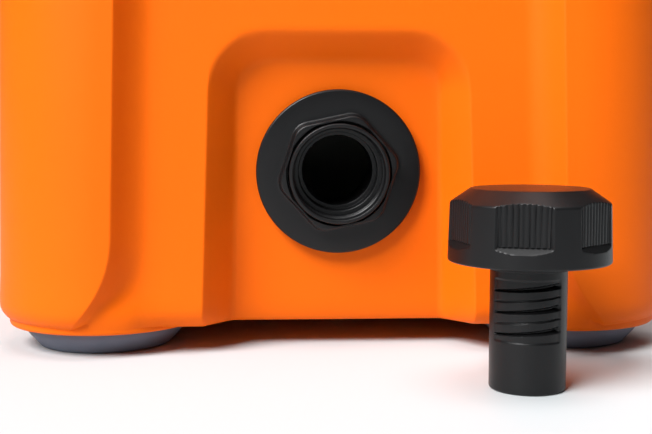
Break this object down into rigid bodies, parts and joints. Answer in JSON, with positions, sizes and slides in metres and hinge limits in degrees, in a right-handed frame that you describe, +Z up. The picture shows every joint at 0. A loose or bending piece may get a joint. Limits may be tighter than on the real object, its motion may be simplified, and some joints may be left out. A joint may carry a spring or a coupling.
{
  "type": "insulated beverage dispenser",
  "caption": "Square insulated drink dispenser tub on rubber feet, with a lift-off latched lid, an open threaded port low in its front wall and the port's loose screw plug.",
  "frame": {"origin": "on the floor under the middle of the whole object's box, the loose plug counted in", "axes": "+Z up, front with the port faces -Y, +X to the right of someone facing the port"},
  "size_m": [0.3446, 0.4354, 0.495],
  "materials": {
    "orange_plastic": "satin rotomoulded polyethylene with a fine orange-peel grain",
    "pale_plastic": "satin food-grade polyethylene",
    "foam": "cut rigid polyurethane foam",
    "black_plastic": "fine-textured moulded nylon, satin",
    "grey_rubber": "matt blue-grey rubber",
    "black_rubber": "matt black rubber",
    "steel": "brushed stainless steel"
  },
  "bodies": {
    "tub": {"tub_outer_shell": "orange_plastic", "tub_foam_core": "foam", "tub_inner_liner": "pale_plastic", "foot_front_left": "grey_rubber", "foot_screw_front_left": "steel", "foot_front_right": "grey_rubber", "foot_screw_front_right": "steel", "foot_back_left": "grey_rubber", "foot_screw_back_left": "steel", "foot_back_right": "grey_rubber", "foot_screw_back_right": "steel", "port_flange_nut": "black_plastic", "port_bulkhead_tube": "black_plastic", "port_outer_gasket": "black_rubber", "port_inner_gasket": "black_rubber"},
    "lid": {"lid_outer_shell": "orange_plastic", "lid_foam_core": "foam", "lid_inner_liner": "pale_plastic", "lid_gasket": "black_rubber", "latch_pin_front": "steel", "latch_pin_back": "steel"},
    "front_latch": {"latch_front": "black_rubber"},
    "back_latch": {"latch_back": "black_rubber"},
    "plug": {"plug_body": "black_plastic", "plug_gasket": "black_rubber"}
  },
  "joints": [
    {"name": "lid_lift", "type": "slide", "parent": "tub", "child": "lid", "axis": [0, 0, 1], "range_m": [0, 0.2]},
    {"name": "front_latch_swing", "type": "hinge", "parent": "lid", "child": "front_latch", "pos_m": [0, -0.11832, 0.458], "axis": [-1, 0, 0], "range_deg": [0, 100]},
    {"name": "back_latch_swing", "type": "hinge", "parent": "lid", "child": "back_latch", "pos_m": [0, 0.20772, 0.458], "axis": [1, 0, 0], "range_deg": [0, 100]},
    {"name": "plug_lift", "type": "slide", "parent": "tub", "child": "plug", "axis": [0, 0, 1], "range_m": [0, 0.15]}
  ]
}
